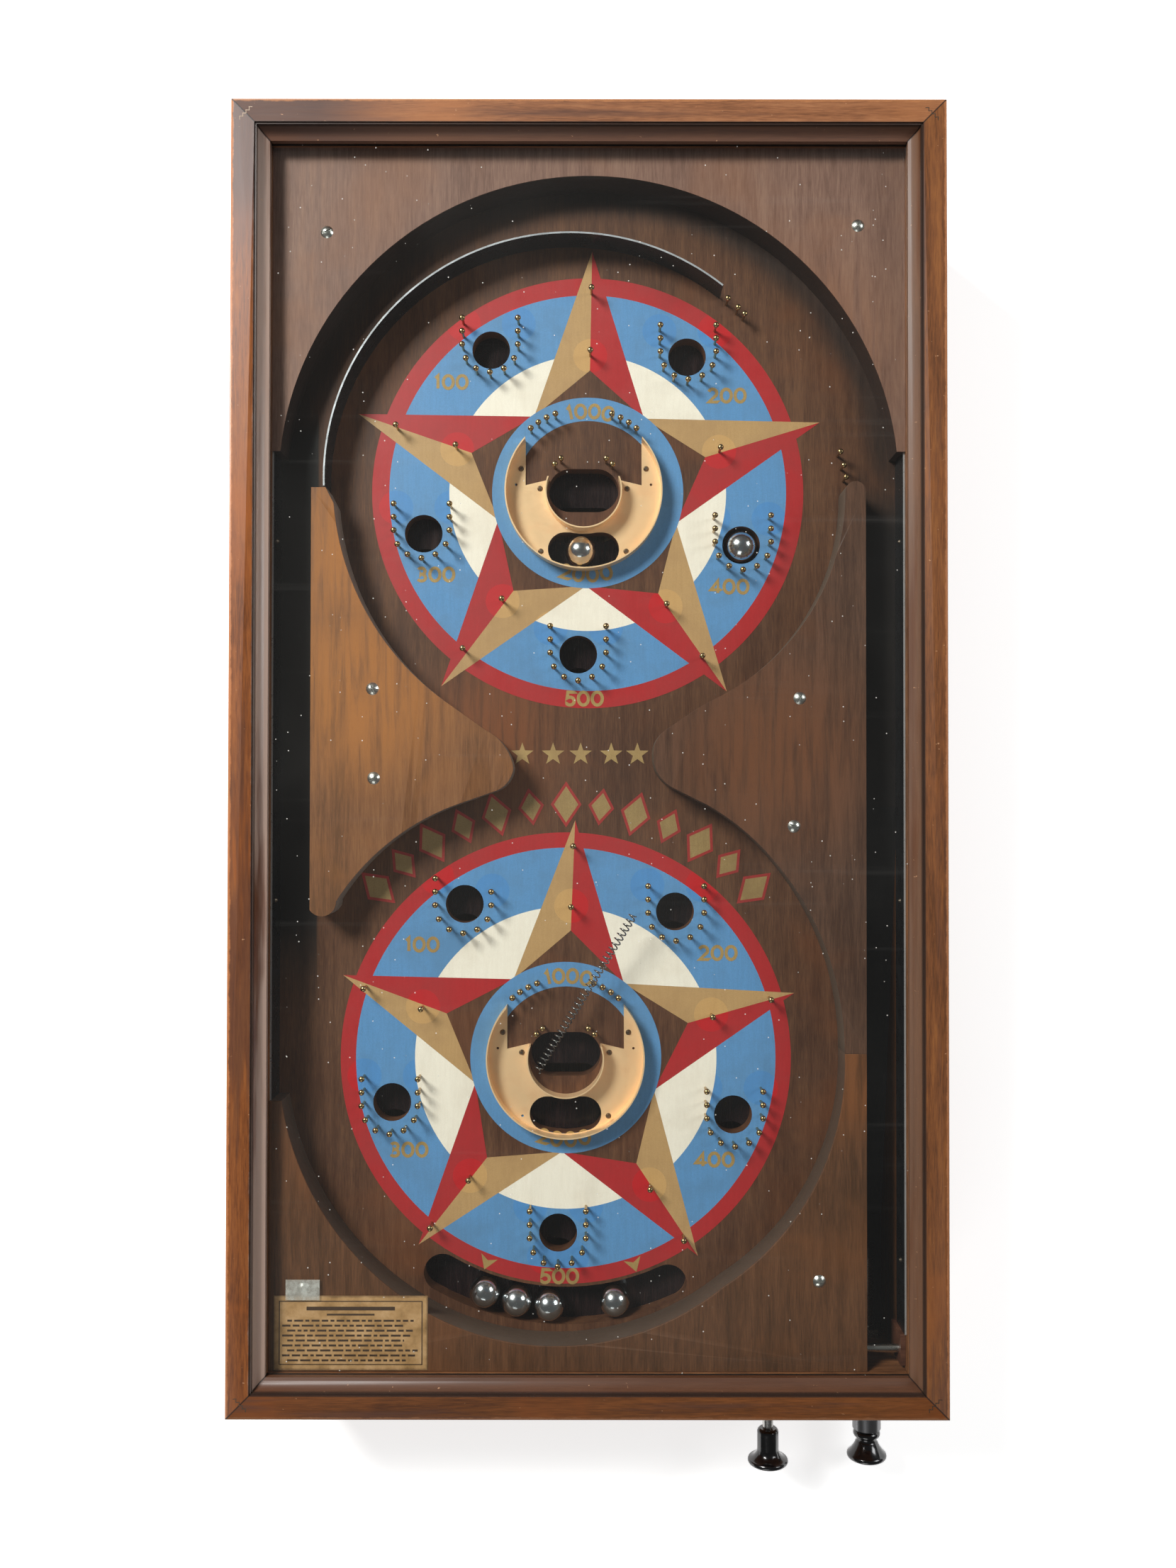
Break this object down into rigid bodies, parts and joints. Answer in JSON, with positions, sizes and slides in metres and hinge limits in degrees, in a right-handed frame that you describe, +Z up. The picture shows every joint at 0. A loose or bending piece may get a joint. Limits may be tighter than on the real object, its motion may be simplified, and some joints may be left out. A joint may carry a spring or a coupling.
{
  "type": "counter-top pin game",
  "caption": "Glazed sloping wooden pin game with two ringed playfields, scoring holes and cups, a spring plunger and a sliding ball shutter.",
  "frame": {"origin": "centre of the base board's underside", "axes": "+Z up, +X to the player's right, +Y from the player to the rear"},
  "size_m": [0.416, 0.827, 0.1505],
  "materials": {
    "cabinet_wood": "dark stained, worn satin",
    "frame_wood": "reddish brown varnish, worn edges",
    "playfield_wood": "varnished board with painted rings",
    "block_wood": "dark stained, satin varnish",
    "inner_wood": "bare board",
    "ramp_wood": "blackened board",
    "steel": "worn bright",
    "spring_steel": "oiled",
    "ball_steel": "polished",
    "screw_steel": "nickel plated",
    "pin_brass": "polished, aged",
    "cup_metal": "satin copper-gold plate",
    "gold_ball": "polished",
    "glass": "clear, slightly dusty",
    "knob_black": "gloss black, worn",
    "rubber": "aged",
    "card": "aged card",
    "tape": "clear tape",
    "hinge_steel": "brassed steel, aged"
  },
  "bodies": {
    "cabinet": {"arch_block": "block_wood", "barrel_nut": "steel", "base_board": "cabinet_wood", "block_screws": "screw_steel", "bottom_block": "block_wood", "cabinet_hinge_leaves": "hinge_steel", "cabinet_hinge_screws": "screw_steel", "card_tape": "tape", "curved_rail": "steel", "direction_card": "card", "front_panel": "cabinet_wood", "gold_ball": "gold_ball", "hinge_pins": "hinge_steel", "lane_cross_pin": "steel", "lane_divider": "ramp_wood", "lane_pin_cheek": "block_wood", "left_island": "block_wood", "left_lane_strip": "steel", "left_runner": "inner_wood", "left_side_panel": "cabinet_wood", "loose_spring": "spring_steel", "lower_cup": "cup_metal", "lower_cup_collar": "cup_metal", "lower_pins": "pin_brass", "playfield_board": "playfield_wood", "plunger_barrel": "steel", "plunger_spring": "spring_steel", "push_rod_bushing": "pin_brass", "rear_panel": "cabinet_wood", "return_bearers": "inner_wood", "return_board": "inner_wood", "return_guide": "inner_wood", "right_island": "block_wood", "right_lane_strip": "steel", "right_runner": "inner_wood", "right_side_panel": "cabinet_wood", "shooter_ramp": "ramp_wood", "shutter_spring": "spring_steel", "small_nails": "pin_brass", "steel_balls": "ball_steel", "upper_cup": "cup_metal", "upper_cup_collar": "cup_metal", "upper_pins": "pin_brass"},
    "plunger": {"plunger_rod": "steel", "plunger_tip": "rubber", "plunger_collar": "steel", "plunger_knob": "knob_black"},
    "shutter": {"shutter_board": "inner_wood", "push_rod": "steel", "push_rod_knob": "knob_black", "push_rod_plate": "steel"},
    "lid": {"left_frame_rail": "frame_wood", "right_frame_rail": "frame_wood", "front_frame_rail": "frame_wood", "rear_frame_rail": "frame_wood", "glass": "glass", "glass_beads": "frame_wood", "mitre_fasteners": "steel", "lid_hinge_leaves": "hinge_steel", "lid_hinge_screws": "screw_steel"}
  },
  "joints": [
    {"name": "lid_hinge", "type": "hinge", "parent": "cabinet", "child": "lid", "pos_m": [0, 0.37531, 0.13277], "axis": [-1, 0, 0], "range_deg": [0, 95]},
    {"name": "plunger_slide", "type": "slide", "parent": "cabinet", "child": "plunger", "axis": [0, -0.9981, -0.061], "range_m": [0, 0.048], "stiffness_N_per_m": 300, "springref_m": -0.01, "deforming": ["plunger_spring"]},
    {"name": "shutter_slide", "type": "slide", "parent": "cabinet", "child": "shutter", "axis": [0, 0.9981, 0.061], "range_m": [0, 0.0185], "stiffness_N_per_m": 150, "springref_m": -0.01, "deforming": ["shutter_spring"]}
  ]
}
